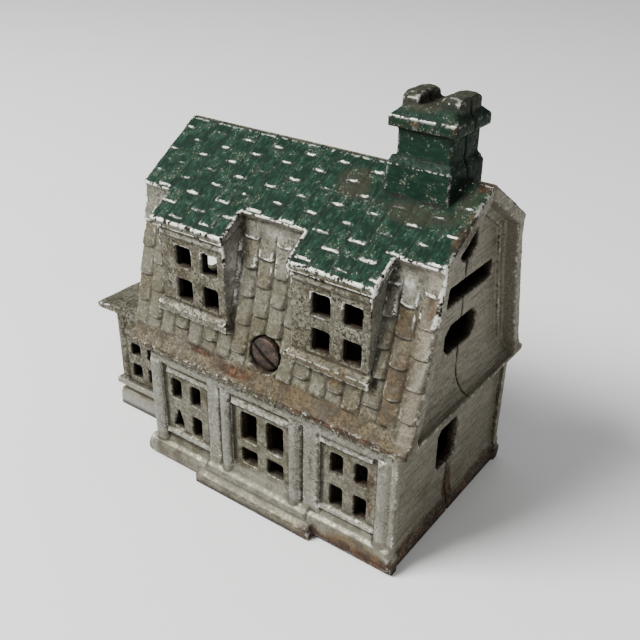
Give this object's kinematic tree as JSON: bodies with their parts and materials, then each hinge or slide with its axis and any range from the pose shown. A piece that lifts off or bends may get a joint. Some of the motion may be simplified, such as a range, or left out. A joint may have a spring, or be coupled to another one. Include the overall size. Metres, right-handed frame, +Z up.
{
  "type": "cast iron still bank",
  "caption": "House-shaped cast iron coin bank with gambrel roof, dormers, chimney and side wing; two screwed halves and a coin slot in the gable.",
  "frame": {"origin": "on the ground under the middle of the whole bank, wing included, on the parting plane of the two castings", "axes": "+Z up; the screw and the door face -Y; the wing is towards -X and the coin slot is in the +X gable"},
  "size_m": [0.1034, 0.058, 0.0992],
  "materials": {
    "front_iron": "worn silver and dark green paint over cast iron, rust at the edges",
    "back_iron": "worn silver and dark green paint over cast iron, rust at the edges",
    "screw_steel": "dark brown oxidised steel"
  },
  "bodies": {
    "front_casting": {"front_casting": "front_iron"},
    "back_casting": {"back_casting": "back_iron"},
    "assembly_screw": {"assembly_screw": "screw_steel"}
  },
  "joints": [
    {"name": "screw_turn", "type": "hinge", "parent": "front_casting", "child": "assembly_screw", "pos_m": [0.0125, -0.02175, 0.0419], "axis": [0, -1, 0], "range_deg": [0, 5250]},
    {"name": "back_pull_off", "type": "slide", "parent": "front_casting", "child": "back_casting", "axis": [0, 1, 0], "range_m": [0, 0.06]}
  ]
}
